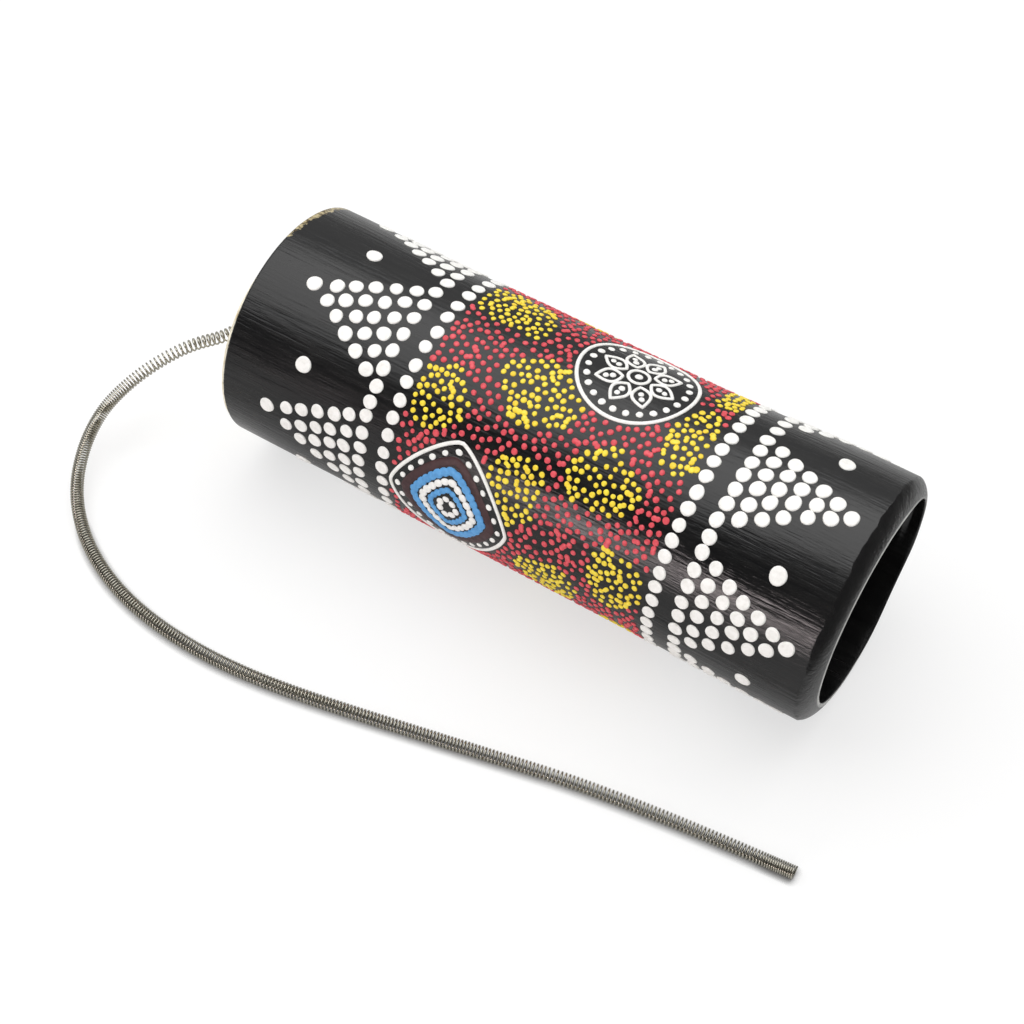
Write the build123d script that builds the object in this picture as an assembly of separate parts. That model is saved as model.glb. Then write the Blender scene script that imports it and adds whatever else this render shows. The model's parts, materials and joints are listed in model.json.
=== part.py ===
from build123d import *
import os
from math import asin, cos, degrees, pi, radians, sin, sqrt, tan

# Thunder tube: a painted bamboo tube that lies on its side, with a skin glued over one end
# and a long coil spring hung from the skin's centre. The other end is an open mouth.
# The tube's axis runs along X at half its diameter above the floor, mouth towards +X.
# The origin is on the floor, under the middle of the tube and its head. Millimetres.

# Bamboo tube
tube_length = 186.0
tube_diameter = 70.0
wall = 6.5
lip_round = 5.0
lip_land = 1.0
rim_break = 0.6
bearing_depth = 4.0
bearing_width = 3.2

# Skin and the glue line under it
glue_thickness = 0.35
glue_inset = 0.4
skin_thickness = 0.45
skin_inset = 0.55
skin_draw = 1.2
skin_flat_margin = 1.5

# Patch outside the skin, washer and glue dab inside it
patch_diameter = 18.0
patch_thickness = 0.5
washer_diameter = 12.0
washer_thickness = 0.8
dab_diameter = 9.0
dab_height = 3.2

# Coil spring
spring_diameter = 4.0
wire_diameter = 0.6
wire_sides = 3
spring_turns = 62
spring_tail = 1.6
tail_leg = 1.1
tail_lean = 52.0
hole_clearance = 0.25

# Places that follow from the sizes
tube_radius = tube_diameter / 2
bore_radius = tube_radius - wall
head_stack = glue_thickness + skin_thickness + skin_draw + patch_thickness
mouth_x = (tube_length + head_stack) / 2
rim_x = mouth_x - tube_length
glue_x = rim_x - glue_thickness
skin_x = glue_x - skin_thickness
seat_in_x = glue_x - skin_draw
seat_out_x = skin_x - skin_draw
hole_radius = spring_diameter / 2 + hole_clearance
spring_floor = spring_diameter / 2
coil_radius = (spring_diameter - wire_diameter) / 2
axis_line = Axis((0, 0, tube_radius), (1, 0, 0))

# Route of the spring past the head: (along X from the skin, across Y, above the floor)
spring_points = [
    (-14.5, -2.6, 30.0),
    (-21.8, -6.3, 22.6),
    (-32.3, -12.4, 17.4),
    (-40.0, -22.8, 13.5),
    (-43.8, -33.2, 10.5),
    (-44.3, -43.8, 8.0),
    (-41.5, -55.0, 5.7),
    (-34.3, -67.0, 3.6),
    (-24.0, -77.2, 2.3),
    (-11.5, -85.0, spring_floor),
    (2.0, -89.5, spring_floor),
    (18.6, -91.4, spring_floor),
    (38.0, -91.0, spring_floor),
    (60.8, -87.8, spring_floor),
    (106.0, -78.2, spring_floor),
    (154.0, -69.1, spring_floor),
    (200.2, -62.4, spring_floor),
]
spring_lead = 7.0
bend_share = 0.45
stations_per_turn = 2
samples_per_turn = 12


def turned(profile):
    """Turn a profile drawn as (x, radius) once about the tube's axis."""
    return revolve(Plane.XZ * Pos(0, tube_radius) * profile, axis_line)


def disc(x_start, thickness, radius, hole):
    """A flat ring about the tube's axis, from x_start towards +X."""
    ring = Circle(radius) - Circle(hole)
    return extrude(Plane((x_start, 0, tube_radius), z_dir=(1, 0, 0)) * ring, thickness)


def make_tube_body():
    """Bamboo culm: rolled lip at the mouth, bevelled bearing edge under the skin."""
    land_radius = tube_radius - lip_round
    lip_in = land_radius - lip_land - bore_radius
    with BuildLine() as outline:
        Polyline(
            (mouth_x - lip_round, tube_radius),
            (rim_x + rim_break, tube_radius),
            (rim_x, tube_radius - rim_break),
            (rim_x, bore_radius + bearing_width),
            (rim_x + bearing_depth, bore_radius),
            (mouth_x - lip_in, bore_radius),
        )
        RadiusArc((mouth_x - lip_in, bore_radius), (mouth_x, land_radius - lip_land), lip_in)
        Line((mouth_x, land_radius - lip_land), (mouth_x, land_radius))
        RadiusArc((mouth_x, land_radius), (mouth_x - lip_round, tube_radius), -lip_round)
    return turned(make_face(outline.line))


def make_rim_glue():
    """Glue line on the rim's flat face, under the edge of the skin."""
    return disc(glue_x, glue_thickness, tube_radius - glue_inset, bore_radius + bearing_width)


def make_drumhead():
    """Thin skin, flat on the rim and drawn out to a shallow cone by the spring at its centre."""
    flat_radius = patch_diameter / 2 + skin_flat_margin
    free_radius = bore_radius + bearing_width
    edge_radius = tube_radius - skin_inset
    outline = Polyline(
        (glue_x, edge_radius),
        (glue_x, free_radius),
        (seat_in_x, flat_radius),
        (seat_in_x, hole_radius),
        (seat_out_x, hole_radius),
        (seat_out_x, flat_radius),
        (skin_x, free_radius),
        (skin_x, edge_radius),
        close=True,
    )
    return turned(make_face(outline))


def make_head_patch():
    """Round patch outside the skin, which spreads the spring's pull."""
    return disc(seat_out_x - patch_thickness, patch_thickness, patch_diameter / 2, hole_radius)


def make_anchor_washer():
    """Washer inside the skin, opposite the patch."""
    return disc(seat_in_x, washer_thickness, washer_diameter / 2, hole_radius)


def make_anchor_glue():
    """Domed dab of glue on the washer, with a pocket round the spring's tail."""
    foot_x = seat_in_x + washer_thickness
    pocket_x = foot_x + spring_tail + wire_diameter / 2 + hole_clearance
    tip_x = foot_x + dab_height
    dab_radius = dab_diameter / 2
    dome_radius = (dab_radius**2 + dab_height**2) / (2 * dab_height)
    dome_sweep = degrees(asin(dab_radius / dome_radius))
    with BuildLine() as outline:
        Polyline(
            (foot_x, dab_radius),
            (foot_x, hole_radius),
            (pocket_x, hole_radius),
            (pocket_x, 0),
            (tip_x, 0),
        )
        CenterArc((tip_x - dome_radius, 0), dome_radius, 0, dome_sweep)
    return turned(make_face(outline.line))


def spring_route():
    """Straight runs with the largest tangent arcs that the runs allow, from the tail outwards."""
    tail_x = seat_in_x + washer_thickness + spring_tail
    points = [Vector(tail_x, 0, tube_radius), Vector(rim_x - spring_lead, 0, tube_radius)]
    points += [Vector(rim_x + x, y, z) for x, y, z in spring_points]
    radii = []
    for before, corner, after in zip(points, points[1:], points[2:]):
        run_in = corner - before
        run_out = after - corner
        half_turn = radians(run_in.get_angle(run_out)) / 2
        radii.append(bend_share * min(run_in.length, run_out.length) / tan(half_turn))
    print("spring route radii", [round(radius, 1) for radius in radii])
    return FilletPolyline(*points, radius=radii)


def coil_frames(route, steps_per_turn):
    """Points and directions of the coil along its route, with no twist of their own."""
    steps = spring_turns * steps_per_turn
    pitch = route.length / spring_turns
    side = Vector(0, 1, 0)
    for step in range(steps + 1):
        centre = route @ (step / steps)
        ahead = route % (step / steps)
        side = (side - ahead * side.dot(ahead)).normalized()
        other = ahead.cross(side)
        angle = 2 * pi * step / steps_per_turn
        outward = side * cos(angle) + other * sin(angle)
        around = other * cos(angle) - side * sin(angle)
        slope = ahead * pitch + around * (2 * pi * coil_radius)
        yield centre + outward * coil_radius, slope.normalized()


def biarc(start, start_slope, end, end_slope):
    """Two arcs that leave start and reach end along the given directions."""
    chord = end - start
    slopes = start_slope + end_slope
    spread = 2 * (1 - start_slope.dot(end_slope))
    along = chord.dot(slopes)
    reach = (sqrt(along * along + spread * chord.dot(chord)) - along) / spread
    near = start + start_slope * reach
    far = end - end_slope * reach
    middle = (near + far) / 2
    first = Edge.make_tangent_arc(start, start_slope, middle)
    second = Edge.make_tangent_arc(middle, (far - near).normalized(), end)
    return [first, second]


def bent_tail(route, coil_start, coil_slope):
    """Straight leg across the coil's own axis, which grips the glue, and its bend to the coil."""
    centre = route @ 0
    outward = (coil_start - centre).normalized()
    around = (route % 0).cross(outward)
    lean = radians(tail_lean)
    leg_slope = outward * cos(lean) - around * sin(lean)
    bend_start = centre + leg_slope * (coil_radius * cos(lean) / (1 + sin(lean)))
    leg = Edge.make_line(centre - leg_slope * tail_leg, bend_start)
    return [leg] + biarc(bend_start, leg_slope, coil_start, coil_slope)


def least_gap(points, apart):
    """Smallest gap between stretches of the wire that are at least this many points apart."""
    least = min(
        (points[i] - points[j]).length
        for i in range(len(points))
        for j in range(i + apart, len(points))
    )
    return least - wire_diameter


def make_spring():
    """One unbroken coil of wire, on half-turn biarcs round the route, from its bent tail."""
    route = spring_route()
    stations = list(coil_frames(route, stations_per_turn))
    arcs = bent_tail(route, *stations[0])
    for (start, start_slope), (end, end_slope) in zip(stations, stations[1:]):
        arcs += biarc(start, start_slope, end, end_slope)
    line = Wire(arcs)
    section = Plane(line @ 0, z_dir=line % 0) * RegularPolygon(wire_diameter / 2, wire_sides)
    coil = sweep(section, path=line, clean=False)
    samples = [arcs[0] @ 0, arcs[0] @ 1]
    samples += [place for place, _ in coil_frames(route, samples_per_turn)]
    print("spring route length", round(route.length, 1), "wire length", round(line.length, 1))
    print("spring least gap to itself", round(least_gap(samples, samples_per_turn * 2 // 3), 2))
    filled = coil.volume / (section.area * line.length)
    print("spring volume over section times length", round(filled, 3))
    return coil


parts = {
    "tube_body": make_tube_body(),
    "rim_glue": make_rim_glue(),
    "drumhead": make_drumhead(),
    "head_patch": make_head_patch(),
    "anchor_washer": make_anchor_washer(),
    "anchor_glue": make_anchor_glue(),
    "spring": make_spring(),
}

os.makedirs("parts", exist_ok=True)
for name, solid in parts.items():
    export_step(solid, f"parts/{name}.step")
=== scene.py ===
import bpy
import json
import numpy as np
from math import atan2, cos, hypot, pi, radians, sin
from mathutils import Euler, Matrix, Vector


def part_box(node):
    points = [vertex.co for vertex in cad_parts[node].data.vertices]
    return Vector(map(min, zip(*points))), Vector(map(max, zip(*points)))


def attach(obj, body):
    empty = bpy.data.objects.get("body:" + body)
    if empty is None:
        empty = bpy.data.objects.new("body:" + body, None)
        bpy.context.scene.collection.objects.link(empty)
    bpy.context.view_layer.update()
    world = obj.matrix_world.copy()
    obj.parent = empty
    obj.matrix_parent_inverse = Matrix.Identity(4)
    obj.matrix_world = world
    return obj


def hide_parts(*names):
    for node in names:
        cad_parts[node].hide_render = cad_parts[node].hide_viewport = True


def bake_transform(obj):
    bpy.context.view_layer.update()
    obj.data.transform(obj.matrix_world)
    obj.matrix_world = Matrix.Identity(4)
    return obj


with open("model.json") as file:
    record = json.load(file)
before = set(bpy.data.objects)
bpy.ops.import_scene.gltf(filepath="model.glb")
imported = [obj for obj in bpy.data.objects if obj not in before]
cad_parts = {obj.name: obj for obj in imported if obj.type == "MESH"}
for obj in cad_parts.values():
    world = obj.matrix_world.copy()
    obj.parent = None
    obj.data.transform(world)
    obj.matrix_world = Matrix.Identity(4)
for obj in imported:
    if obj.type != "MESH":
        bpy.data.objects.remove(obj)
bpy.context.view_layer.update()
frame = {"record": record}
mm = 0.001

# measures that the frame already holds
mounts = {mount["name"]: mount for mount in frame["record"]["mounts"]}
tubeRadius = mounts["barrel"]["dims"]["r_mm"] * mm
boreRadius = mounts["mouth_bore"]["dims"]["r_mm"] * mm
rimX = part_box("tube_body")[0].x
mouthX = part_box("tube_body")[1].x
skinLow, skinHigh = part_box("drumhead")
patchLow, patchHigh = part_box("head_patch")
print("frame loaded, tube", round((mouthX - rimX) / mm, 1), "mm long")


# shared mesh helpers

def addMesh(name, points, faces, material):
    mesh = bpy.data.meshes.new(name)
    mesh.from_pydata([tuple(p) for p in points], [], [tuple(f) for f in faces])
    mesh.polygons.foreach_set("use_smooth", [True] * len(mesh.polygons))
    mesh.materials.append(material)
    mesh.validate()
    mesh.update()
    piece = bpy.data.objects.new(name, mesh)
    bpy.context.scene.collection.objects.link(piece)
    return piece


# the culm thickens a little towards both ends, except underneath, where it lies on the floor
swellForm = {"mouthStart": 120 * mm, "mouthEnd": 172 * mm, "mouthSwell": 0.84 * mm,
             "rimStart": 45 * mm, "rimEnd": 5 * mm, "rimSwell": 0.30 * mm}


def easeIn(value, start, end):
    share = np.clip((value - start) / (end - start), 0, 1)
    return share * share * (3 - 2 * share)


def swell(x, angle):
    form = swellForm
    toMouth = easeIn(x, form["mouthStart"], form["mouthEnd"]) * form["mouthSwell"]
    toRim = easeIn(x, form["rimStart"], form["rimEnd"]) * form["rimSwell"]
    return (toMouth + toRim) * (1 + np.cos(angle))


def onTube(x, angle, lift=0.0):
    # x from the rim in metres, angle 0 at the top and growing towards the front
    r = tubeRadius + swell(x, angle) + lift
    return np.stack([rimX + x + 0 * angle, -r * np.sin(angle), tubeRadius + r * np.cos(angle)], axis=-1)


def latheMesh(name, profile, segments, material, uneven=None):
    # closed profile of (x, radius), turned about the tube's axis
    profile = np.array(profile)
    turn = (np.arange(segments) * 2 * pi / segments)[:, None]
    ringX = np.repeat(profile[:, 0][None, :], segments, 0)
    ringR = np.repeat(profile[:, 1][None, :], segments, 0)
    if uneven:
        ringX, ringR = uneven(ringX, ringR, turn)
    points = np.stack([ringX, -ringR * np.sin(turn), tubeRadius + ringR * np.cos(turn)], -1)
    rows = len(profile)
    faces = []
    for i in range(segments):
        j = (i + 1) % segments
        for k in range(rows):
            m = (k + 1) % rows
            faces.append((i * rows + k, i * rows + m, j * rows + m, j * rows + k))
    return addMesh(name, points.reshape(-1, 3), faces, material)


def waves(turn, seed, counts):
    # sum of a few waves round the axis, between about -1 and 1
    luck = np.random.default_rng(seed)
    total = 0
    for n in counts:
        size = luck.uniform(0.4, 1)
        total = total + size * np.sin(n * turn + luck.uniform(0, 2 * pi))
    return total / len(counts) * 1.4


def hump(turn, middle, wide):
    # 1 at the middle angle, fading to 0 on both sides
    gap = (turn - middle + pi) % (2 * pi) - pi
    return np.exp(-((gap / wide) ** 2))


def arcPoints(centreX, centreR, radius, startDeg, endDeg, steps):
    turn = np.radians(np.linspace(startDeg, endDeg, steps + 1))
    return [(centreX + radius * cos(a), centreR + radius * sin(a)) for a in turn]


def bendPoints(start, startPull, endPull, end, steps):
    # smooth bend from start to end, past the two pulls
    t = np.linspace(0, 1, steps + 1)[:, None]
    early = 3 * t * (1 - t) ** 2
    late = 3 * t * t * (1 - t)
    bend = (1 - t) ** 3 * start + early * startPull + late * endPull + t ** 3 * end
    return [tuple(p) for p in bend]


# shared material helpers

def newMaterial(name, colour, roughness, metallic=0.0, specular=0.5):
    material = bpy.data.materials.new(name)
    material.use_nodes = True
    shader = material.node_tree.nodes["Principled BSDF"]
    shader.inputs["Base Color"].default_value = (*colour, 1)
    shader.inputs["Roughness"].default_value = roughness
    shader.inputs["Metallic"].default_value = metallic
    shader.inputs["Specular IOR Level"].default_value = specular
    return material, material.node_tree, shader


def addNoise(tree, scale, detail=4.0, roughness=0.5, stretch=(1, 1, 1)):
    place = tree.nodes.new("ShaderNodeTexCoord")
    mapping = tree.nodes.new("ShaderNodeMapping")
    mapping.inputs["Scale"].default_value = stretch
    noise = tree.nodes.new("ShaderNodeTexNoise")
    noise.inputs["Scale"].default_value = scale
    noise.inputs["Detail"].default_value = detail
    noise.inputs["Roughness"].default_value = roughness
    tree.links.new(place.outputs["Object"], mapping.inputs["Vector"])
    tree.links.new(mapping.outputs["Vector"], noise.inputs["Vector"])
    return noise.outputs["Fac"]


def addRamp(tree, value, stops):
    # each stop: (place, colour)
    ramp = tree.nodes.new("ShaderNodeValToRGB")
    for element, (place, colour) in zip(ramp.color_ramp.elements, stops):
        element.position = place
        element.color = (*colour, 1)
    tree.links.new(value, ramp.inputs["Fac"])
    return ramp.outputs["Color"]


def addRange(tree, value, fromLow, fromHigh, toLow, toHigh):
    node = tree.nodes.new("ShaderNodeMapRange")
    node.inputs["From Min"].default_value = fromLow
    node.inputs["From Max"].default_value = fromHigh
    node.inputs["To Min"].default_value = toLow
    node.inputs["To Max"].default_value = toHigh
    tree.links.new(value, node.inputs["Value"])
    return node.outputs["Result"]


def addMath(tree, operation, first, second):
    node = tree.nodes.new("ShaderNodeMath")
    node.operation = operation
    for socket, value in zip(node.inputs, (first, second)):
        if isinstance(value, (int, float)):
            socket.default_value = value
        else:
            tree.links.new(value, socket)
    return node.outputs["Value"]


def addMix(tree, factor, first, second):
    node = tree.nodes.new("ShaderNodeMix")
    node.data_type = "RGBA"
    tree.links.new(factor, node.inputs["Factor"])
    for name, value in (("A", first), ("B", second)):
        socket = [s for s in node.inputs if s.name == name and s.type == "RGBA"][0]
        if isinstance(value, tuple):
            socket.default_value = (*value, 1)
        else:
            tree.links.new(value, socket)
    return [s for s in node.outputs if s.type == "RGBA"][0]


def addBump(tree, shader, height, strength, distance):
    bump = tree.nodes.new("ShaderNodeBump")
    bump.inputs["Strength"].default_value = strength
    bump.inputs["Distance"].default_value = distance
    tree.links.new(height, bump.inputs["Height"])
    tree.links.new(bump.outputs["Normal"], shader.inputs["Normal"])


def addWeighted(tree, *pairs):
    # sum of values, each with its weight
    total = None
    for value, weight in pairs:
        part = addMath(tree, "MULTIPLY", value, weight)
        total = part if total is None else addMath(tree, "ADD", total, part)
    return total


def addPlace(tree):
    # the object's own x, y and z
    place = tree.nodes.new("ShaderNodeTexCoord")
    split = tree.nodes.new("ShaderNodeSeparateXYZ")
    tree.links.new(place.outputs["Object"], split.inputs["Vector"])
    return split.outputs


def tintBase(tree, shader, value, darkStop, paleStop):
    # base colour that runs from one stop to the other
    tree.links.new(addRamp(tree, value, [darkStop, paleStop]), shader.inputs["Base Color"])


def tintRough(tree, shader, value, roughLow, roughHigh):
    tree.links.new(addRange(tree, value, 0.3, 0.7, roughLow, roughHigh), shader.inputs["Roughness"])


# black brushed paint on the bamboo, bare where the rim is chipped, with a painted highlight along the mouth's
# edge

# the pale colour for the mouth's edge is a painted highlight
blackLook = {"deep": (0.0042, 0.0042, 0.0046), "streak": (0.0095, 0.0092, 0.009), "specular": 0.42,
             "bare": (0.50, 0.42, 0.24), "bareDark": (0.10, 0.07, 0.03), "chipReach": 4.2 * mm,
             "paintedHighlight": (0.60, 0.60, 0.57), "highlightWide": 0.20 * mm, "brushHigh": 0.3 * mm}


def makeBlackPaint():
    look = blackLook
    material, tree, shader = newMaterial("blackPaint", look["deep"], 0.2, specular=look["specular"])
    # brush strokes a few millimetres wide, bristle lines a millimetre apart and finer hairs
    strokes = addNoise(tree, 300, 3, 0.55, (0.06, 1, 1))
    bristles = addNoise(tree, 900, 3, 0.6, (0.075, 1, 1))
    hairs = addNoise(tree, 2000, 2, 0.5, (0.04, 1, 1))
    cloud = addNoise(tree, 45, 3, 0.5, (0.5, 1, 1))
    brushed = addWeighted(tree, (strokes, 0.35), (bristles, 0.45), (hairs, 0.2))
    paint = addRamp(tree, brushed, [(0.40, look["deep"]), (0.62, look["streak"])])
    spot = addPlace(tree)
    # chips along the rim, most of them just behind the top
    fromRim = addMath(tree, "SUBTRACT", spot["X"], rimX)
    nearRim = addRange(tree, fromRim, 0.0, look["chipReach"], 1.0, 0.0)
    behind = addRange(tree, spot["Y"], -12 * mm, 16 * mm, 0.0, 1.0)
    flakes = addNoise(tree, 520, 5, 0.75)
    high = addRange(tree, spot["Z"], 50 * mm, 63 * mm, 0.3, 1.0)
    chipped = addMath(tree, "MULTIPLY", nearRim, addMath(tree, "MULTIPLY", behind, high))
    chips = addWeighted(tree, (flakes, 0.75), (nearRim, 0.10), (chipped, 0.60))
    chipMask = addRange(tree, chips, 0.68, 0.72, 0.0, 1.0)
    bare = addRamp(tree, addNoise(tree, 800, 4, 0.7), [(0.45, look["bareDark"]), (0.56, look["bare"])])
    # painted highlight: a pale line along the mouth's edge where the crest catches light, fading towards the
    # back
    toMouth = addMath(tree, "SUBTRACT", mouthX, spot["X"])
    nearMouthEdge = addRange(tree, toMouth, look["highlightWide"] * 0.4, look["highlightWide"], 1.0, 0.0)
    patchy = addRange(tree, addNoise(tree, 160, 3, 0.6), 0.3, 0.6, 0.45, 1.0)
    inFront = addRange(tree, spot["Y"], 12 * mm, 26 * mm, 1.0, 0.2)
    paintedHighlightMask = addMath(tree, "MULTIPLY", nearMouthEdge, addMath(tree, "MULTIPLY", patchy, inFront))
    colour = addMix(tree, paintedHighlightMask, addMix(tree, chipMask, paint, bare), look["paintedHighlight"])
    tree.links.new(colour, shader.inputs["Base Color"])
    rough = addRange(tree, addWeighted(tree, (brushed, 1.0), (cloud, 0.6)), 0.55, 1.05, 0.13, 0.32)
    tree.links.new(rough, shader.inputs["Roughness"])
    addBump(tree, shader, brushed, 1.0, look["brushHigh"])
    return material


# paint of the dots and lines, a little uneven in tone

paintLook = {
    "white": {"colour": (0.93, 0.92, 0.89), "shade": (0.82, 0.81, 0.77), "rough": 0.42},
    "coral": {"colour": (0.76, 0.088, 0.112), "shade": (0.60, 0.046, 0.064), "rough": 0.4},
    "yellow": {"colour": (0.92, 0.74, 0.05), "shade": (0.87, 0.58, 0.022), "rough": 0.4},
    "blue": {"colour": (0.10, 0.36, 0.72), "shade": (0.07, 0.28, 0.60), "rough": 0.45},
    "maroon": {"colour": (0.050, 0.012, 0.014), "shade": (0.030, 0.008, 0.010), "rough": 0.45},
}


def makeDotPaint(tone):
    look = paintLook[tone]
    material, tree, shader = newMaterial(tone + "Paint", look["colour"], look["rough"])
    mottle = addNoise(tree, 700, 3, 0.6)
    tintBase(tree, shader, mottle, (0.3, look["shade"]), (0.6, look["colour"]))
    tintRough(tree, shader, mottle, look["rough"] + 0.1, look["rough"] - 0.08)
    addBump(tree, shader, addNoise(tree, 1500, 2), 0.12, 0.2 * mm)
    return material


blackPaint = makeBlackPaint()
dotPaint = {tone: makeDotPaint(tone) for tone in paintLook}
print("paints mixed:", len(dotPaint) + 1)


# bamboo tube with its rolled lip

tubeForm = {
    "lipLong": 3.9 * mm, "lipDrop": 6.0 * mm, "lipPull": 1.6 * mm, "edgeRound": 1.2 * mm, "edgeTurn": 25,
    "crest": 0.45 * mm, "crestStart": 10, "crestEnd": -80, "crestPull": 2.6 * mm,
    "flareDeep": 5.0 * mm, "flareIn": 0.3 * mm, "flareOut": 2.6 * mm,
    "rimBreak": 0.6 * mm, "bevelDeep": 4.0 * mm, "bevelWide": 3.2 * mm,
    "segments": 256, "lengthSteps": 60, "edgeSteps": 4, "lipSteps": 14, "crestSteps": 10,
    "flareSteps": 10, "boreSteps": 30, "edgeLoop": 0.25 * mm, "boreLoop": 2.0 * mm,
    # the lip is sharper at one side, where the culm is thicker, and worn back at another
    "sharpSide": radians(-55), "sharpWide": radians(28), "sharpness": 0.45,
    "wornSide": radians(-132), "wornWide": radians(26), "wornBack": 0.6 * mm,
    "unevenX": 0.03 * mm, "unevenR": 0.16 * mm, "unevenBelow": 0.2 * mm, "raggedX": 0.5 * mm,
}


def makeTube():
    form = tubeForm
    crest, flare, edge = form["crest"], form["flareDeep"], form["edgeRound"]
    lipStart = mouthX - form["lipLong"]
    edgeArc = arcPoints(lipStart, tubeRadius - edge, edge, 90, 90 - form["edgeTurn"], form["edgeSteps"])
    crestRadius = tubeRadius - form["lipDrop"]
    crestArc = arcPoints(mouthX - crest, crestRadius, crest,
                         form["crestStart"], form["crestEnd"], form["crestSteps"])
    turned, first, last = np.array(edgeArc[-1]), np.array(crestArc[0]), np.array(crestArc[-1])
    edgeAngle, backAngle, inAngle = (radians(form[key]) for key in ("edgeTurn", "crestStart", "crestEnd"))
    onward = np.array([cos(edgeAngle), -sin(edgeAngle)]) * form["lipPull"]
    back = np.array([-sin(backAngle), cos(backAngle)]) * form["crestPull"]
    inward = np.array([sin(inAngle), -cos(inAngle)]) * form["flareIn"]
    boreEnd = np.array([mouthX - flare, boreRadius])
    rimEdge = rimX + form["rimBreak"]
    outer = np.linspace(rimEdge + form["edgeLoop"], lipStart - form["edgeLoop"], form["lengthSteps"])
    bore = np.linspace(mouthX - flare - form["boreLoop"], rimX + form["bevelDeep"], form["boreSteps"])
    profile = [(rimEdge, tubeRadius)] + [(x, tubeRadius) for x in outer] + edgeArc
    profile += bendPoints(turned, turned + onward, first + back, first, form["lipSteps"])[1:]
    profile += crestArc[1:]
    boreBack = boreEnd + (form["flareOut"], 0)
    profile += bendPoints(last, last + inward, boreBack, boreEnd, form["flareSteps"])[1:]
    profile += [(x, boreRadius) for x in bore]
    profile += [(rimX, boreRadius + form["bevelWide"]), (rimX, tubeRadius - form["rimBreak"])]

    def handShaped(x, r, turn):
        outside = np.clip((r - boreRadius) / (tubeRadius - boreRadius), 0, 1)
        nearMouth = np.clip((x - (mouthX - flare)) / flare, 0, 1)
        atSharp = hump(turn, form["sharpSide"], form["sharpWide"])
        sharper = form["sharpness"] * atSharp * np.clip(nearMouth * 3, 0, 1)
        r = tubeRadius - (tubeRadius - r) * (1 - sharper)
        atEdge = np.exp(-(((x - lipStart) / mm) ** 2)) * outside
        x = x - form["wornBack"] * hump(turn, form["wornSide"], form["wornWide"]) * nearMouth
        x = x + atEdge * waves(turn, 35, (9, 17, 31, 47)) * form["raggedX"]
        x = x + nearMouth ** 2 * waves(turn, 31, (2, 5, 9, 14)) * form["unevenX"]
        lumpy = nearMouth ** 2 * waves(turn, 33, (3, 7, 11)) * form["unevenR"]
        r = r + np.where(r < tubeRadius - form["unevenBelow"], lumpy, 0)
        return np.minimum(x, mouthX), r + swell(x - rimX, turn) * outside

    tube = latheMesh("tubeShell", profile, form["segments"], blackPaint, handShaped)
    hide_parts("tube_body")
    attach(tube, "tube")


makeTube()
print("tube turned")


# raised paint dots: low domes or dishes that follow the round surface

dotForm = {"oval": 0.035, "corners": 0.02, "tailWide": 0.34,
           # share of the radius and of the height, ring by ring, and the height of the middle
           "dome": [(1.0, -0.10), (0.985, 0.16), (0.90, 0.58), (0.70, 0.88), (0.42, 0.985)], "domeTop": 1.0,
           "dish": [(1.0, -0.10), (0.985, 0.22), (0.93, 0.74), (0.82, 1.0), (0.62, 0.90), (0.34, 0.82)],
           "dishTop": 0.86}


def paintDots(name, dots, tone, sides, lift, shape="dome"):
    # each dot: (x, angle, radius, stretch, turn, tail length, tail side)
    rings, heights = np.array(dotForm[shape]).T
    dots = np.array(dots, float)
    count = len(dots)
    turn = np.arange(sides) * 2 * pi / sides
    wobble = np.random.default_rng(count)
    x, angle, radius, stretch, lean, tail, tailSide = dots.T
    phase2, phase3 = wobble.uniform(0, 2 * pi, (2, count))
    oval = dotForm["oval"] * np.cos(2 * turn[None] + phase2[:, None])
    corners = dotForm["corners"] * np.cos(3 * turn[None] + phase3[:, None])
    edge = 1 + oval + corners
    gap = np.angle(np.exp(1j * (turn[None] - tailSide[:, None])))
    edge = edge * (1 + tail[:, None] * np.exp(-((gap / dotForm["tailWide"]) ** 2)))
    alongX = edge * np.cos(turn)[None] * stretch[:, None]
    across = edge * np.sin(turn)[None]
    dx = (alongX * np.cos(lean)[:, None] - across * np.sin(lean)[:, None]) * radius[:, None]
    dy = (alongX * np.sin(lean)[:, None] + across * np.cos(lean)[:, None]) * radius[:, None]
    high = lift * np.sqrt(radius / np.median(radius))
    ringX = x[:, None, None] + dx[:, None] * rings[None, :, None]
    ringA = angle[:, None, None] + dy[:, None] * rings[None, :, None] / tubeRadius
    ringH = np.broadcast_to(high[:, None, None] * heights[None, :, None], ringX.shape)
    walls = onTube(ringX, ringA, ringH).reshape(count, -1, 3)
    tops = onTube(x, angle, high * dotForm[shape + "Top"])[:, None]
    points = np.concatenate([walls, tops], 1)
    size = points.shape[1]
    one = []
    for k in range(len(rings) - 1):
        for i in range(sides):
            j = (i + 1) % sides
            one.append((k * sides + i, k * sides + j, (k + 1) * sides + j, (k + 1) * sides + i))
    last = (len(rings) - 1) * sides
    caps = [(last + i, last + (i + 1) % sides, size - 1) for i in range(sides)]
    under = tuple(range(sides - 1, -1, -1))
    faces = [tuple(v + n * size for v in face) for n in range(count) for face in one + caps + [under]]
    piece = addMesh(name, points.reshape(-1, 3), faces, dotPaint[tone])
    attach(piece, "tube")


# end bands: triangles of packed white dots, rings at their bases, one more ring beside the panel

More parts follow.
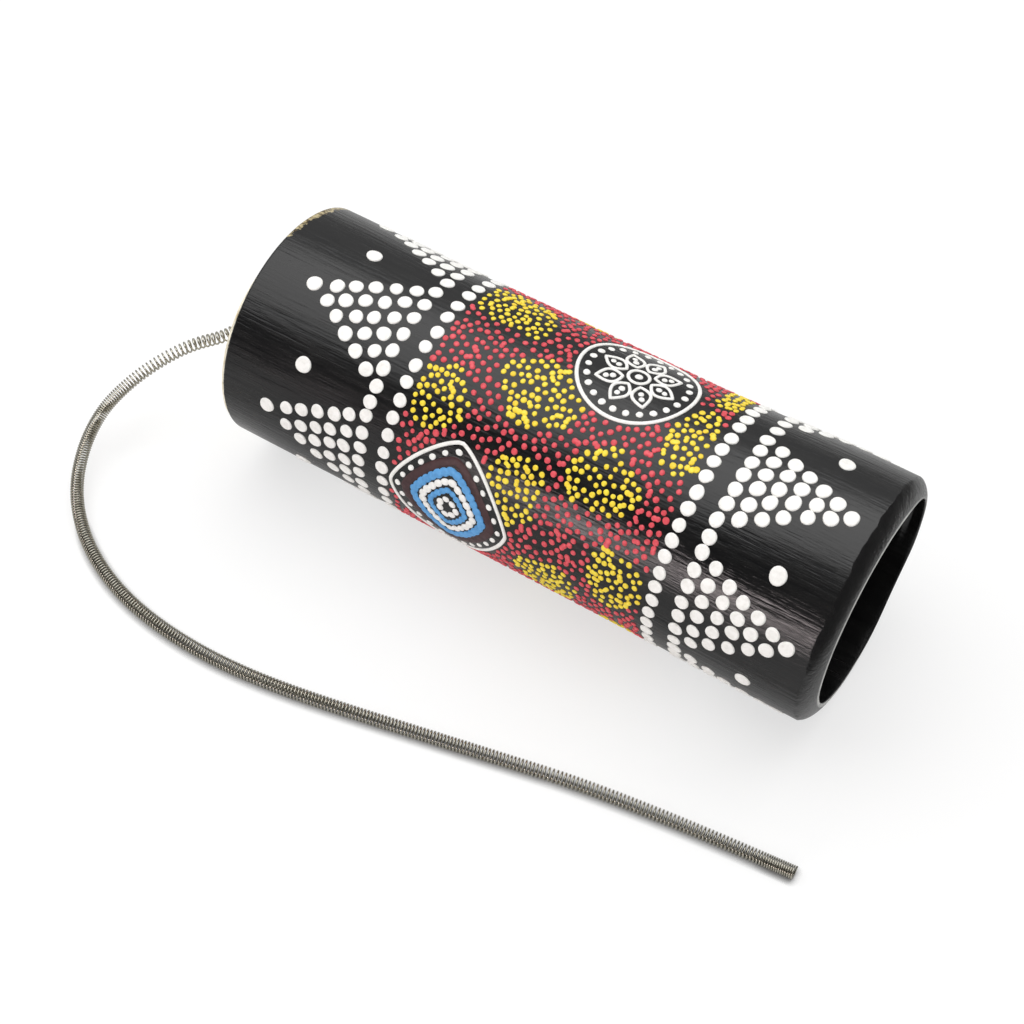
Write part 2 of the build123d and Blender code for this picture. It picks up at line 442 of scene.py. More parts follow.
# x in millimetres from the rim, angles in degrees from the top towards the front
endBands = {
    "left": {"apexX": 15.8, "secondX": 22.1, "baseX": 46.4, "singleX": 24.4,
             "singles": [-12.9, 49.5, 113, 173.5, 230, 287],
             "borderX": 54.1, "borderDots": 41, "borderStart": 0.8,
             # apex angle, first and last angle of the base, bow of the edges, size of the brush
             "triangles": [(-47, -72.5, -18.9, 1.0, 1.02), (14.8, -9.3, 43.8, 1.06, 0.99),
                           (77.7, 58.2, 109.0, 0.92, 1.0), (142, 118.5, 165.8, 1.0, 0.97),
                           (198.5, 174.8, 222.1, 1.05, 1.03), (255, 231.1, 278.5, 0.97, 1.0)]},
    "right": {"apexX": 176.0, "secondX": 171.4, "baseX": 146.6, "singleX": 167.1,
              "singles": [38.5, 95.5, 156, 218, 275, 339.2],
              "borderX": 138.2, "borderDots": 48, "borderStart": 0.6,
              "triangles": [(5.0, -14.1, 29.5, 1.0, 0.99), (64.9, 43.9, 92.8, 1.0, 0.98),
                            (121, 100, 146.5, 1.04, 1.0), (184, 161, 207.5, 0.97, 1.04),
                            (246, 222, 269, 1.0, 0.98), (298, 279, 327.7, 1.0, 1.02)]},
}
whiteDotForm = {"radius": 2.07 * mm, "apexRadius": 2.30 * mm, "singleRadius": 2.42 * mm,
                "ringRadius": 1.97 * mm, "lift": 0.36 * mm, "rows": 7, "sides": 20,
                # a few dots have a tail where the brush left them
                "tail": 0.12, "tailed": 0.03,
                # degrees between the dots that join two triangles, and how far the hand slips
                "joinStep": 7.8, "slipX": 0.15 * mm, "slipTurn": radians(0.28), "slipSize": 0.025}


def endBandDots(band, luck):
    form = whiteDotForm
    dots = []
    triangles = band["triangles"]
    for apex, first, last, bow, brush in triangles:
        for row in range(form["rows"]):
            share = (row / (form["rows"] - 1)) ** bow
            inner = (row - 1) / (form["rows"] - 2)
            x = band["secondX"] + (band["baseX"] - band["secondX"]) * inner if row else band["apexX"]
            low = apex + (first - apex) * share
            high = apex + (last - apex) * share
            radius = brush * (form["radius"] if row else form["apexRadius"])
            for n in range(row + 1):
                dots.append((x, low + (high - low) * (n / row if row else 0.5), radius))
    for one, following, single in zip(triangles, triangles[1:] + triangles[:1], band["singles"]):
        last, nextFirst = one[2], following[1]
        wide = (nextFirst - last) % 360
        between = int(round(wide / form["joinStep"])) - 1
        for n in range(between):
            dots.append((band["baseX"], last + wide * (n + 1) / (between + 1), form["radius"]))
        dots.append((band["singleX"], single, form["singleRadius"]))
    for n in range(band["borderDots"]):
        angle = band["borderStart"] + 360 * n / band["borderDots"]
        dots.append((band["borderX"], angle, form["ringRadius"]))
    placed = []
    for x, angle, radius in dots:
        tail = form["tail"] if luck.random() < form["tailed"] else 0.0
        x = x * mm + luck.normal(0, form["slipX"])
        angle = radians(angle) + luck.normal(0, form["slipTurn"])
        radius = radius * luck.normal(1, form["slipSize"])
        stretch, lean = luck.uniform(0.97, 1.06), luck.uniform(0, pi)
        placed.append((x, angle, radius, stretch, lean, tail, luck.uniform(0, 2 * pi)))
    return placed


luck = np.random.default_rng(41)
whiteDots = endBandDots(endBands["left"], luck) + endBandDots(endBands["right"], luck)
paintDots("endBandDots", whiteDots, "white", whiteDotForm["sides"], whiteDotForm["lift"], "dish")
print("end bands:", len(whiteDots), "dots")


# raised paint lines and flat bands, drawn on the unrolled surface as (x, arc) and laid on the tube

def paintLines(name, lines, tone, lift):
    # each line: (points of a closed path, width)
    shares = np.array([-1, -0.93, -0.7, -0.36, 0, 0.36, 0.7, 0.93, 1])
    heights = np.array([-0.15, 0.25, 0.68, 0.93, 1, 0.93, 0.68, 0.25, -0.15])
    across = len(shares)
    points, faces = [], []
    for path, width in lines:
        ahead = np.roll(path, -1, 0) - np.roll(path, 1, 0)
        ahead /= np.linalg.norm(ahead, axis=1)[:, None]
        side = np.stack([-ahead[:, 1], ahead[:, 0]], 1)
        spread = path[:, None] + side[:, None] * (width / 2 * shares)[None, :, None]
        first, count = len(points), len(path)
        points.extend(onTube(spread[..., 0], spread[..., 1] / tubeRadius, lift * heights).reshape(-1, 3))
        for n in range(count):
            a, b = first + n * across, first + (n + 1) % count * across
            for k in range(across - 1):
                faces.append((a + k, b + k, b + k + 1, a + k + 1))
            faces.append((a + across - 1, b + across - 1, b, a))
    piece = addMesh(name, points, faces, dotPaint[tone])
    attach(piece, "tube")


# small dots of the rosette and the lozenge
beadForm = {"sides": 12, "lift": 0.3 * mm, "slipSize": 0.04, "stretchLow": 0.97, "stretchHigh": 1.05}


def plainDot(u, v, radius, luck, stretch=1.0, lean=0.0):
    radius = radius * luck.normal(1, beadForm["slipSize"])
    stretch = stretch * luck.uniform(beadForm["stretchLow"], beadForm["stretchHigh"])
    return (u, v / tubeRadius, radius, stretch, lean, 0.0, 0.0)


def evenSteps(path, step):
    # points at even steps along a closed path
    path = np.vstack([path, path[:1]])
    run = np.concatenate([[0], np.cumsum(np.linalg.norm(np.diff(path, axis=0), axis=1))])
    places = np.linspace(0, run[-1], max(int(round(run[-1] / step)), 3), endpoint=False)
    return np.stack([np.interp(places, run, path[:, k]) for k in range(2)], 1)


# rosette on the top of the panel

# eyeLine and petalLine are shares of the line's width, midBead is a share of the beads' radius
rosette = {"x": 107.5, "angle": -17.0, "ring": 16.6 * mm, "eye": 2.9 * mm, "clear": 1.7 * mm,
           "line": 1.15 * mm, "eyeLine": 0.9, "petalLine": 0.85, "lift": 0.34 * mm,
           "beads": 13.9 * mm, "beadCount": 24, "beadRadius": 1.0 * mm, "midBead": 1.2,
           "petals": 8, "petalTurn": 0.2, "petalIn": 4.4 * mm, "petalOut": 11.6 * mm, "petalHalf": 2.5 * mm,
           "petalBeads": (0.36, 0.62), "ringSteps": 120, "eyeSteps": 40, "petalSteps": 40}


def circlePath(u, v, radius, steps):
    turn = np.arange(steps) * 2 * pi / steps
    return np.stack([u + radius * np.cos(turn), v + radius * np.sin(turn)], 1)


def makeRosette(luck):
    form = rosette
    u, v = form["x"] * mm, radians(form["angle"]) * tubeRadius
    lines = [(circlePath(u, v, form["ring"], form["ringSteps"]), form["line"]),
             (circlePath(u, v, form["eye"], form["eyeSteps"]), form["line"] * form["eyeLine"])]
    beads = []

    def addBead(far, heading, radius):
        beads.append(plainDot(u + far * cos(heading), v + far * sin(heading), radius, luck))

    petalLong = form["petalOut"] - form["petalIn"]
    t = np.linspace(0, 1, form["petalSteps"] + 1)
    reach = form["petalIn"] + petalLong * t
    reach = np.concatenate([reach, reach[-2:0:-1]])
    bulge = form["petalHalf"] * np.sin(pi * t ** 0.85)
    bulge = np.concatenate([bulge, -bulge[-2:0:-1]])
    for n in range(form["petals"]):
        heading = 2 * pi * n / form["petals"] + form["petalTurn"]
        petalU = u + reach * cos(heading) - bulge * sin(heading)
        petalV = v + reach * sin(heading) + bulge * cos(heading)
        lines.append((np.stack([petalU, petalV], 1), form["line"] * form["petalLine"]))
        for share in form["petalBeads"]:
            addBead(form["petalIn"] + petalLong * share, heading, form["beadRadius"] * (1.0 - 0.3 * share))
    for n in range(form["beadCount"]):
        addBead(form["beads"], 2 * pi * n / form["beadCount"], form["beadRadius"])
    addBead(0, 0, form["beadRadius"] * form["midBead"])
    paintLines("rosetteLines", lines, "white", form["lift"])
    paintDots("rosetteBeads", beads, "white", beadForm["sides"], beadForm["lift"])


# lozenge at the front of the panel: beaded bands one inside the other

lozenge = {"x": 75.5, "angle": 84.0, "halfLong": 18.5 * mm, "halfWide": 21.5 * mm, "corner": 1.35,
           "steps": 160, "clear": 1.09, "lift": 0.34 * mm, "flatLift": 0.12 * mm, "beadStretch": 1.2}
# share of the lozenge's size, kind, width or dot radius and step in millimetres, paint
lozengeBands = [
    (1.00, "line", 1.15, 1.2, "white"), (0.87, "dots", 0.85, 4.2, "white"),
    (0.74, "line", 2.6, 1.2, "maroon"), (0.59, "dots", 1.35, 2.2, "blue"),
    (0.44, "dots", 1.15, 2.5, "white"), (0.30, "dots", 1.0, 1.8, "blue"),
    (0.15, "dots", 1.0, 2.4, "white"),
]


def lozengePath(share):
    turn = np.arange(lozenge["steps"]) * 2 * pi / lozenge["steps"]
    power = lozenge["corner"]
    reach = (np.abs(np.cos(turn)) ** power + np.abs(np.sin(turn)) ** power) ** (-1 / power) * share
    u = lozenge["x"] * mm + lozenge["halfLong"] * reach * np.cos(turn)
    v = radians(lozenge["angle"]) * tubeRadius + lozenge["halfWide"] * reach * np.sin(turn)
    return np.stack([u, v], 1)


def makeLozenge(luck):
    lines, dots = {}, {}
    for share, kind, size, step, tone in lozengeBands:
        path = evenSteps(lozengePath(share), step * mm)
        if kind == "line":
            lines.setdefault(tone, []).append((path, size * mm))
            continue
        slope = np.roll(path, -1, 0) - np.roll(path, 1, 0)
        for (pu, pv), (su, sv) in zip(path, slope):
            bead = plainDot(pu, pv, size * mm, luck, lozenge["beadStretch"], atan2(sv, su))
            dots.setdefault(tone, []).append(bead)
    for tone in lines:
        lift = lozenge["flatLift"] if tone == "maroon" else lozenge["lift"]
        paintLines(tone + "LozengeLine", lines[tone], tone, lift)
    for tone in dots:
        paintDots(tone + "LozengeDots", dots[tone], tone, beadForm["sides"], beadForm["lift"])


# panel ground: small yellow dots in patches, coral dots between them

panelForm = {"start": 57.3 * mm, "end": 134.9 * mm, "yellowGap": 1.72 * mm, "coralGap": 1.94 * mm,
             "yellowRadius": 0.78 * mm, "coralRadius": 0.80 * mm, "lift": 0.30 * mm, "sides": 12,
             "throws": 36000, "passes": (1.22, 1.1, 1.0), "slipSize": 0.07, "lump": 0.09, "fineLump": 0.05,
             # bare seam round a yellow patch, and the dots that ran together with a second one
             "seamLow": 0.98, "seamHigh": 1.06, "merged": 0.12, "mergedApart": 0.62}
# x, angle, half length along the tube, half width round it, lean in degrees
yellowPatches = [
    (67, -24, 14.0, 9.5, 12), (64.5, 35, 8.2, 9.5, 0), (89.5, 13, 12.5, 10.5, 0), (93.0, 58, 8.5, 10.5, 10),
    (115, 36.5, 10.5, 9.0, 0), (127, 77, 8.2, 10.0, 0), (107, 101, 9.5, 9.0, 0), (129.5, 4, 6.0, 12.0, 0),
    (132, -36, 4.5, 9.5, 0), (84, -64, 9.5, 9.0, 0), (112, -76, 10.0, 8.5, 0), (64, -88, 7.5, 9.0, 0),
    (92, -106, 9.5, 9.0, 0), (126, -112, 8.0, 9.0, 0), (70, -132, 9.0, 9.0, 0), (103, -146, 10.0, 9.0, 0),
    (128, -158, 7.0, 9.0, 0), (66, -174, 8.0, 9.0, 0), (90, 172, 9.0, 8.5, 0), (116, 162, 9.0, 9.0, 0),
    (70, 146, 9.0, 8.5, 0), (97, 138, 9.5, 9.0, 0), (127, 126, 7.5, 9.0, 0),
]


def patchValue(u, v):
    # below 1 inside a yellow patch
    least = 9.0
    for n, (x, angle, long, wide, lean) in enumerate(yellowPatches):
        du = u / mm - x
        dv = ((v / tubeRadius - radians(angle) + pi) % (2 * pi) - pi) * tubeRadius / mm
        turn = radians(lean)
        a, b = du * cos(turn) + dv * sin(turn), dv * cos(turn) - du * sin(turn)
        side = atan2(b, a)
        lump = panelForm["lump"] * sin(3 * side + 1.7 * n) + panelForm["fineLump"] * sin(5 * side + 2.3 * n)
        least = min(least, hypot(a / long, b / wide) / (1 + lump))
    return least


def inMotif(u, v):
    # inside the rosette or the lozenge
    v = (v + pi * tubeRadius) % (2 * pi * tubeRadius) - pi * tubeRadius
    du, dv = u - rosette["x"] * mm, v - radians(rosette["angle"]) * tubeRadius
    if hypot(du, dv) < rosette["ring"] + rosette["clear"]:
        return True
    du, dv = u - lozenge["x"] * mm, v - radians(lozenge["angle"]) * tubeRadius
    power = lozenge["corner"]
    reach = (abs(du / lozenge["halfLong"]) ** power + abs(dv / lozenge["halfWide"]) ** power) ** (1 / power)
    return reach < lozenge["clear"]


def makePanel(luck):
    form = panelForm
    around = 2 * pi * tubeRadius
    cell = form["coralGap"] * max(form["passes"])
    rows = int(around / cell)
    cells = [(i, j) for i in (-1, 0, 1) for j in (-1, 0, 1)]
    taken = {}
    dots = {"yellow": [], "coral": []}

    def gapTo(u, v, other):
        return hypot(u - other[0], (v - other[1] + around / 2) % around - around / 2)

    for spread in form["passes"]:
        throwU = luck.uniform(form["start"], form["end"], form["throws"])
        throwV = luck.uniform(0, around, form["throws"])
        for u, v in zip(throwU, throwV):
            column, row = int(u / cell), int(v / cell) % rows
            near = [p for i, j in cells for p in taken.get((column + i, (row + j) % rows), ())]
            clear = min((gapTo(u, v, p) for p in near), default=1.0)
            if clear < form["yellowGap"] * spread or inMotif(u, v):
                continue
            value = patchValue(u, v)
            tone = "yellow" if value < 1 else "coral"
            inSeam = form["seamLow"] < value < form["seamHigh"]
            if inSeam or clear < form[tone + "Gap"] * spread:
                continue
            taken.setdefault((column, row), []).append((u, v))
            radius = form[tone + "Radius"] * luck.normal(1, form["slipSize"])
            heading = luck.uniform(0, pi)
            apart = form["mergedApart"]
            shifts = (-apart, apart) if luck.random() < form["merged"] else (0,)
            for shift in shifts:
                pu, pv = u + shift * radius * cos(heading), v + shift * radius * sin(heading)
                dots[tone].append((pu, pv / tubeRadius, radius, luck.uniform(1.0, 1.12), heading, 0.0, 0.0))
    for tone in dots:
        paintDots(tone + "GroundDots", dots[tone], tone, form["sides"], form["lift"])
    print("panel ground:", len(dots["yellow"]), "yellow and", len(dots["coral"]), "coral dots")


makeRosette(luck)
makeLozenge(luck)
makePanel(luck)


# skin over the end, drawn out at its centre, its edge trimmed by hand

skinForm = {"edge": 34.55 * mm, "free": 31.7 * mm, "flat": 10.5 * mm, "hole": 2.25 * mm,
            "thick": 0.45 * mm, "thin": 0.14 * mm, "segments": 192, "rings": 17, "straight": 0.6,
            "breakX": 0.12 * mm, "breakR": 0.15 * mm,
            "trimBack": 1.3 * mm, "trimFrom": radians(14), "trimTo": radians(42), "trimSlip": 0.2 * mm,
            "puckers": 26, "puckerHigh": 0.05 * mm,
            "colour": (0.90, 0.85, 0.70), "dark": (0.76, 0.67, 0.48)}


def trimmedBack(turn):
    # the edge is cut further back along the top
    fromTop = np.abs((turn + pi) % (2 * pi) - pi)
    return skinForm["trimBack"] * (1 - easeIn(fromTop, skinForm["trimFrom"], skinForm["trimTo"]))


def makeSkin():
    form = skinForm
    material, tree, shader = newMaterial("parchment", form["colour"], 0.5)
    mottle = addNoise(tree, 130, 5, 0.65)
    fibres = addNoise(tree, 900, 3, 0.6, (1, 0.25, 1))
    tintBase(tree, shader, mottle, (0.32, form["dark"]), (0.62, form["colour"]))
    tintRough(tree, shader, fibres, 0.4, 0.6)
    addBump(tree, shader, fibres, 0.25, 0.2 * mm)
    outX, inX = skinLow.x, skinHigh.x
    rimOut = inX - form["thick"]
    share = np.linspace(0, 1, form["rings"])
    spans = form["free"] + (form["flat"] - form["free"]) * share
    dish = rimOut + (outX - rimOut) * (share * form["straight"] + (1 - form["straight"]) * share ** 2)
    body = form["thin"] + (form["thick"] - form["thin"]) * np.abs(2 * share - 1) ** 6
    outside = [(rimOut + form["breakX"], form["edge"]), (rimOut, form["edge"] - form["breakR"])]
    outside += list(zip(dish, spans)) + [(outX, form["hole"])]
    inside = [(outX + form["thick"], form["hole"])]
    inside += list(zip(dish + body, spans))[::-1] + [(inX, form["edge"])]

    def handTrim(x, r, turn):
        trim = waves(turn, 5, (3, 7, 11, 19, 31)) * form["trimSlip"] - trimmedBack(turn)
        trim = trim * np.clip((r - form["free"]) / (form["edge"] - form["free"]), 0, 1)
        between = np.clip((form["free"] - r) / (form["free"] - form["flat"]), 0, 1)
        pulled = np.sin(pi * np.clip(between * 2.2, 0, 1))
        pucker = form["puckerHigh"] * np.sin(form["puckers"] * turn + waves(turn, 8, (2, 3))) * pulled
        return x + pucker, r + trim

    skin = latheMesh("skinHead", outside + inside, form["segments"], material, handTrim)
    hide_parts("drumhead")
    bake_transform(skin)


# glue squeezed out between the skin and the rim

glueForm = {"inner": 31.7 * mm, "outer": 34.72 * mm, "bead": 0.1 * mm, "slip": 0.24 * mm, "segments": 256,
            "colour": (0.93, 0.89, 0.74), "dark": (0.55, 0.45, 0.26)}


def makeRimGlue():
    form = glueForm
    material, tree, shader = newMaterial("driedGlue", form["colour"], 0.45)
    stain = addNoise(tree, 260, 4, 0.65)
    tintBase(tree, shader, stain, (0.36, form["dark"]), (0.48, form["colour"]))
    addBump(tree, shader, addNoise(tree, 1200, 3), 0.3, 0.2 * mm)
    low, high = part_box("rim_glue")
    middle = (low.x + high.x) / 2
    rounded = form["outer"] - form["bead"]
    profile = [(high.x, form["inner"]), (high.x, rounded), (middle, form["outer"]), (low.x, rounded),
               (low.x, form["inner"])]

    def squeeze(x, r, turn):
        edge = waves(turn, 12, (4, 9, 17, 29, 43)) * form["slip"] - trimmedBack(turn)
        return x, r + np.where(r > form["inner"] + mm, edge, 0)

    glue = latheMesh("glueLine", profile, form["segments"], material, squeeze)
    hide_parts("rim_glue")
    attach(glue, "tube")


# leather patch round the spring's hole

patchForm = {"radius": 9.0 * mm, "hole": 2.25 * mm, "edge": 0.16 * mm, "slip": 0.16 * mm, "segments": 96,
             "outerLoop": 2.0 * mm, "holeLoop": 1.2 * mm,
             "colour": (0.40, 0.28, 0.15), "dark": (0.24, 0.15, 0.07)}


def makePatch():
    form = patchForm
    material, tree, shader = newMaterial("tanLeather", form["colour"], 0.6)
    grain = tree.nodes.new("ShaderNodeTexVoronoi")
    grain.inputs["Scale"].default_value = 1400
    place = tree.nodes.new("ShaderNodeTexCoord")
    tree.links.new(place.outputs["Object"], grain.inputs["Vector"])
    mottle = addNoise(tree, 320, 4, 0.6)
    tintBase(tree, shader, mottle, (0.35, form["dark"]), (0.62, form["colour"]))
    addBump(tree, shader, grain.outputs["Distance"], 0.35, 0.2 * mm)
    low, high = patchLow.x, patchHigh.x
    outer, hole, edge = form["radius"], form["hole"], form["edge"]
    profile = [(high, hole), (high, outer - edge), (high - edge, outer), (low + edge, outer),
               (low, outer - edge), (low, outer - form["outerLoop"]), (low, hole + form["holeLoop"]),
               (low, hole + edge), (low + edge, hole)]

    def handCut(x, r, turn):
        return x, r + np.where(r > outer - mm, waves(turn, 21, (2, 3, 5, 9)) * form["slip"], 0)

    patch = latheMesh("leatherPatch", profile, form["segments"], material, handCut)
    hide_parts("head_patch")
    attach(patch, "head_centre")


# washer and glue dab inside the skin keep their shapes from the frame

insideLook = {
    "anchor_washer": {"colour": (0.75, 0.73, 0.68), "dark": (0.60, 0.57, 0.50), "rough": 0.4, "grain": 500},
    "anchor_glue": {"colour": (0.62, 0.52, 0.32), "dark": (0.42, 0.31, 0.14), "rough": 0.3, "grain": 420},
}


def dressInside():
    for node, look in insideLook.items():
        material, tree, shader = newMaterial(node + "Look", look["colour"], look["rough"])
        tone = addNoise(tree, look["grain"], 4, 0.6)
        tintBase(tree, shader, tone, (0.35, look["dark"]), (0.6, look["colour"]))
        tintRough(tree, shader, tone, look["rough"] + 0.12, look["rough"] - 0.05)
        mesh = bpy.data.objects[node].data
        mesh.materials.clear()
        mesh.materials.append(material)


makeSkin()
makeRimGlue()
makePatch()
dressInside()
print("head covered")


# coil spring: the route of the frame as a smooth curve, and a wire wound round it

springForm = {"outer": 4.0 * mm, "wire": 0.56 * mm, "sides": 6, "stepsPerTurn": 18, "samples": 6000,
              "smoothing": 41, "axisHeight": 35.0 * mm,
              "tail": -90.9 * mm, "exit": -95.0 * mm, "lead": -98.75 * mm,
              "hang": (-0.2, -0.65, -0.73), "bendFrom": 0.3 * mm, "bendLong": 6 * mm,
              "pale": (0.53, 0.51, 0.44), "dark": (0.37, 0.35, 0.29)}
# route past the head, moved a little from the frame's so that it lies as in the picture
springPoints = [
    (-13.1, -4.6, 32.6), (-17.3, -10.9, 28.2), (-27.9, -17.1, 23.6), (-35.4, -27.5, 19.3),
    (-40.0, -36.9, 14.9), (-42.3, -45.0, 10.8), (-40.4, -56.0, 7.5), (-34.5, -67.7, 4.4), (-24.1, -77.6, 2.3),
    (-11.1, -84.7, 2.0), (2.9, -89.1, 2.0), (18.6, -91.2, 2.0), (37.4, -91.2, 2.0), (60.8, -88.0, 2.0),
    (105.4, -78.0, 2.0), (153.0, -67.3, 2.0), (200.2, -62.6, 2.0),
]
# pitch of the turns along the spring: (millimetres from the tail, pitch in millimetres)
springPitch = [
    (0, 1.58), (19, 1.52), (25, 1.6), (31, 1.54), (37.5, 1.49), (44, 1.41), (50, 1.34), (55.5, 1.18),
    (59, 0.98), (63, 0.80), (68, 0.70), (75, 0.71), (84, 0.79), (100, 0.81), (112, 0.87), (128, 0.88),
    (150, 0.94), (176, 0.95), (183, 1.02), (233, 1.02), (245, 0.97), (256, 1.04), (268, 1.08), (271, 1.2),
    (275, 1.12), (310, 1.08), (322, 1.03), (329, 0.92), (333, 0.62), (340, 0.60),
]


def springRoute():
    form = springForm
    points = [(form[key], 0, form["axisHeight"]) for key in ("tail", "exit", "lead")]
    points += [(rimX + x * mm, y * mm, z * mm) for x, y, z in springPoints]
    curve = bpy.data.curves.new("springLine", "CURVE")
    curve.dimensions = "3D"
    curve.resolution_u = 24
    spline = curve.splines.new("NURBS")
    spline.points.add(len(points) - 1)
    for point, place in zip(spline.points, points):
        point.co = (*place, 1)
    spline.order_u = 3
    spline.use_endpoint_u = True
    holder = bpy.data.objects.new("springLine", curve)
    bpy.context.scene.collection.objects.link(holder)
    bpy.context.view_layer.update()
    mesh = bpy.data.meshes.new_from_object(holder)
    line = np.array([vertex.co for vertex in mesh.vertices])
    bpy.data.objects.remove(holder)
    bpy.data.meshes.remove(mesh)
    return line


def makeSpringWire():
    form = springForm
    steel, tree, shader = newMaterial("springSteel", form["pale"], 0.25, metallic=1.0)
    drawn = addNoise(tree, 900, 3, 0.6)
    tintBase(tree, shader, drawn, (0.3, form["dark"]), (0.65, form["pale"]))
    tintRough(tree, shader, drawn, 0.12, 0.22)
    return steel


def makeSpring():
    form = springForm
    line = springRoute()
    runs = np.linalg.norm(np.diff(line, axis=0), axis=1)
    along = np.concatenate([[0], np.cumsum(runs)])
    length = along[-1]
    pitchAt = np.array([place for place, _ in springPitch]) * mm
    pitchOf = np.array([pitch for _, pitch in springPitch]) * mm
    fineS = np.linspace(0, length, form["samples"])
    turnRate = 2 * pi / np.interp(fineS, pitchAt, pitchOf)
    turned = np.concatenate([[0], np.cumsum((turnRate[1:] + turnRate[:-1]) / 2 * np.diff(fineS))])
    steps = int(turned[-1] / (2 * pi) * form["stepsPerTurn"])
    phase = np.linspace(0, turned[-1], steps)
    s = np.interp(phase, turned, fineS)
    centre = np.stack([np.interp(s, along, line[:, k]) for k in range(3)], 1)
    ahead = np.gradient(centre, axis=0)
    smooth = np.ones(form["smoothing"]) / form["smoothing"]
    reach = form["smoothing"] // 2
    padded = np.pad(ahead, ((reach, reach), (0, 0)), mode="edge")
    ahead = np.stack([np.convolve(padded[:, k], smooth, mode="valid") for k in range(3)], 1)
    ahead /= np.linalg.norm(ahead, axis=1)[:, None]
    side = np.zeros_like(ahead)
    guide = np.array([0.0, 1.0, 0.0])
    for n in range(steps):
        guide = guide - ahead[n] * guide.dot(ahead[n])
        guide /= np.linalg.norm(guide)
        side[n] = guide
    other = np.cross(ahead, side)
    coil = (form["outer"] - form["wire"]) / 2
    outward = side * np.cos(phase)[:, None] + other * np.sin(phase)[:, None]
    wire = centre + outward * coil
    slope = np.gradient(wire, axis=0)
    slope /= np.linalg.norm(slope, axis=1)[:, None]
    wireOut = outward - slope * (outward * slope).sum(1)[:, None]
    wireOut /= np.linalg.norm(wireOut, axis=1)[:, None]
    wireUp = np.cross(slope, wireOut)
    turn = np.arange(form["sides"]) * 2 * pi / form["sides"]
    ring = wireOut[:, None] * np.cos(turn)[None, :, None] + wireUp[:, None] * np.sin(turn)[None, :, None]
    points = (wire[:, None] + ring * form["wire"] / 2).reshape(-1, 3)
    sides = form["sides"]
    faces = []
    for n in range(steps - 1):
        for i in range(sides):
            j = (i + 1) % sides
            faces.append((n * sides + i, n * sides + j, (n + 1) * sides + j, (n + 1) * sides + i))
    faces.append(tuple(range(sides - 1, -1, -1)))
    faces.append(tuple((steps - 1) * sides + i for i in range(sides)))
    spring = addMesh("springCoil", points, faces, makeSpringWire())
    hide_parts("spring")
    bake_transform(spring)
    print("spring wound:", round(turned[-1] / (2 * pi)), "turns,", round(length / mm, 1), "mm long")


makeSpring()


# floor, light and camera

stageLook = {"floor": (0.95, 0.95, 0.945), "floorSize": 6, "ownWhite": 0.62, "mirroredWhite": 0.45,
             "brightSide": (-0.1, 0.5, 0.85), "brightFrom": 0.3, "brightTo": 1.0,
             "frontDark": 0.10, "backBright": 0.85,
             # reach, depth and band of the painted contact shadow beside the spring
             "paintedShadowReach": 2.0 * mm, "paintedShadowDark": 3.2, "paintedShadowFrom": -50 * mm, "paintedShadowTo": -40 * mm,
             "card": (0.2, 0.2, 0.2), "cardX": 0.15, "cardSize": 1.2}


def makeFloor():
    look = stageLook
    bpy.ops.mesh.primitive_plane_add(size=look["floorSize"], location=(0, 0, 0))
    floor = bpy.context.object
    floor.name = "floor"
    material, tree, shader = newMaterial("paleFloor", look["floor"], 0.9, specular=0.0)
    floor.data.materials.append(material)
    # white paper that still takes a faint shadow
    rays = tree.nodes.new("ShaderNodeLightPath")
    mirrored = addMath(tree, "MAXIMUM", rays.outputs["Is Glossy Ray"], rays.outputs["Is Transmission Ray"])
    seen = addMath(tree, "MAXIMUM", rays.outputs["Is Camera Ray"], mirrored)
    # painted contact shadow: no white of its own right beside the spring, where ambient occlusion finds the
    # spring close by, in the front part of the floor
    beside = tree.nodes.new("ShaderNodeAmbientOcclusion")
    beside.samples = 12
    beside.inputs["Distance"].default_value = look["paintedShadowReach"]
    clear = addMath(tree, "POWER", beside.outputs["AO"], look["paintedShadowDark"])
    closed = addMath(tree, "SUBTRACT", 1.0, clear)
    paintedShadowBand = addRange(tree, addPlace(tree)["Y"], look["paintedShadowFrom"], look["paintedShadowTo"], 1.0, 0.0)
    unshadedShare = addMath(tree, "SUBTRACT", 1.0, addMath(tree, "MULTIPLY", closed, paintedShadowBand))
    glow = tree.nodes.new("ShaderNodeEmission")
    white = addRange(tree, mirrored, 0, 1, 1.0, look["mirroredWhite"])
    tree.links.new(addMath(tree, "MULTIPLY", white, unshadedShare), glow.inputs["Strength"])
    blend = tree.nodes.new("ShaderNodeMixShader")
    tree.links.new(addMath(tree, "MULTIPLY", seen, look["ownWhite"]), blend.inputs["Fac"])
    tree.links.new(shader.outputs["BSDF"], blend.inputs[1])
    tree.links.new(glow.outputs["Emission"], blend.inputs[2])
    tree.links.new(blend.outputs["Shader"], tree.nodes["Material Output"].inputs["Surface"])


def makeCard():
    # dark card beside the mouth, seen only in reflections
    look = stageLook
    size = look["cardSize"]
    middle = (look["cardX"], 0, size / 2)
    bpy.ops.mesh.primitive_plane_add(size=size, location=middle, rotation=(0, radians(90), 0))
    card = bpy.context.object
    card.name = "darkCard"
    card.data.materials.append(newMaterial("darkCard", look["card"], 1.0, specular=0.0)[0])
    card.visible_camera = False
    card.visible_diffuse = False
    card.visible_shadow = False


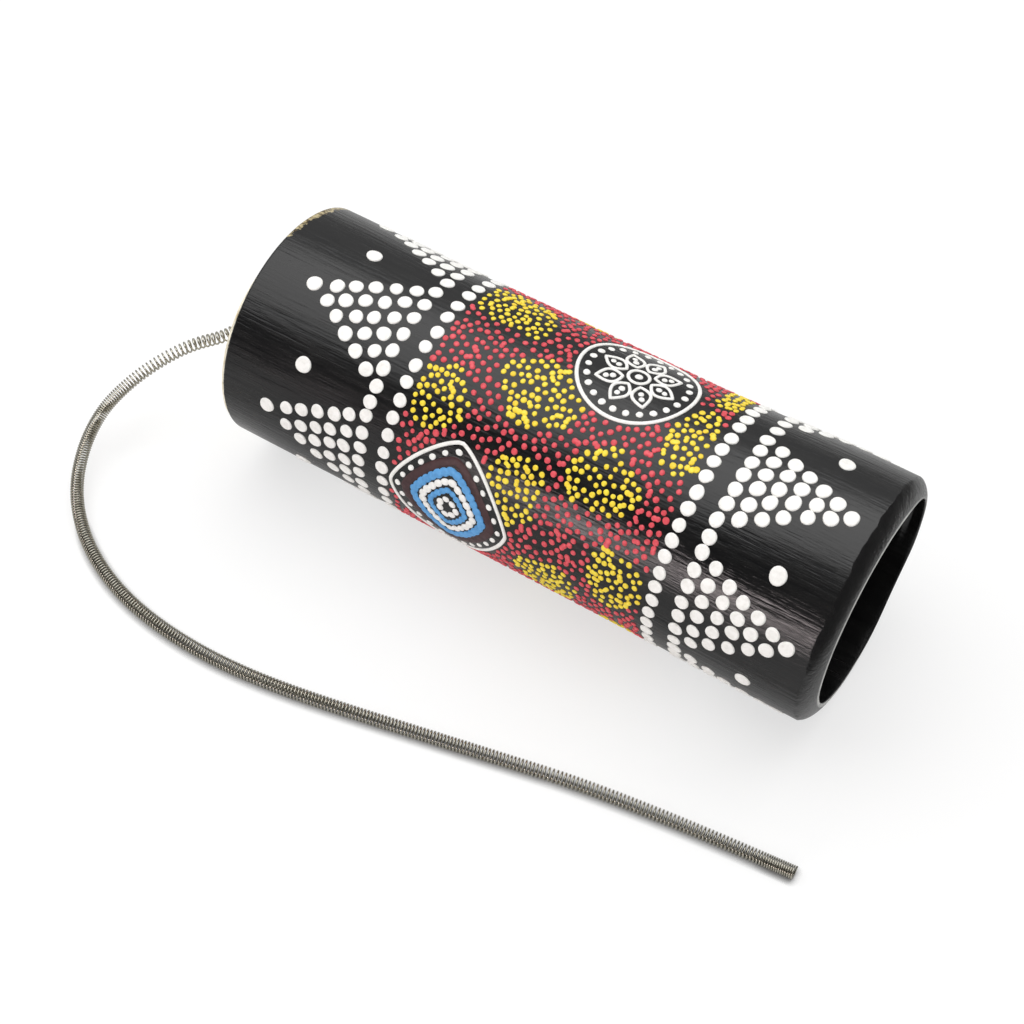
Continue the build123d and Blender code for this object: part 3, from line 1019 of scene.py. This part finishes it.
def makeRoom():
    # room that is pale above and behind and dark in front
    look = stageLook
    world = bpy.data.worlds.new("softRoom")
    bpy.context.scene.world = world
    world.use_nodes = True
    room = world.node_tree
    place = room.nodes.new("ShaderNodeTexCoord")
    facing = room.nodes.new("ShaderNodeVectorMath")
    facing.operation = "DOT_PRODUCT"
    facing.inputs[1].default_value = look["brightSide"]
    room.links.new(place.outputs["Generated"], facing.inputs[0])
    level = addRange(room, facing.outputs["Value"], look["brightFrom"], look["brightTo"],
                     look["frontDark"], look["backBright"])
    room.links.new(level, room.nodes["Background"].inputs["Strength"])
    room.nodes["Background"].inputs["Color"].default_value = (1, 1, 1, 1)


softboxes = {
    "ceilingLight": {"place": (-0.5, 0.1, 1.2), "target": (-0.5, 0.1, 0), "size": (2.8, 1.17),
                     "power": 19.0, "spin": radians(45)},
    "windowLight": {"place": (-0.20, -1.2, 0.21), "target": (0.05, 0, 0.05), "size": (0.38, 0.25),
                    "power": 3.0, "colour": (1.0, 0.88, 0.88)},
    "frontFill": {"place": (0.4, -0.9, 0.9), "target": (0, 0, 0.03), "size": (0.8, 0.8),
                  "power": 3.6, "mirrored": False},
}


def addSoftbox(name, place, target, size, power, colour=(1, 1, 1), spin=0.0, mirrored=True):
    light = bpy.data.lights.new(name, "AREA")
    light.shape = "RECTANGLE"
    light.size, light.size_y = size
    light.energy = power
    light.color = colour
    holder = bpy.data.objects.new(name, light)
    bpy.context.scene.collection.objects.link(holder)
    holder.location = place
    aim = (Vector(target) - Vector(place)).to_track_quat("-Z", "Y")
    holder.rotation_euler = (aim @ Euler((0, 0, spin)).to_quaternion()).to_euler()
    holder.visible_glossy = mirrored


cameraView = {"place": (0.16255, -0.2858, 0.4718), "turn": (radians(35.26), 0, radians(32.2)), "lens": 69.15}


def makeCamera():
    data = bpy.data.cameras.new("photoView")
    data.sensor_width = 36
    data.lens = cameraView["lens"]
    data.clip_start, data.clip_end = 0.01, 20
    camera = bpy.data.objects.new("photoView", data)
    bpy.context.scene.collection.objects.link(camera)
    camera.location = cameraView["place"]
    camera.rotation_euler = cameraView["turn"]
    bpy.context.scene.camera = camera


makeFloor()
makeCard()
makeRoom()
for name, softbox in softboxes.items():
    addSoftbox(name, **softbox)
makeCamera()
bpy.context.scene.view_settings.view_transform = "Standard"
print("stage set")
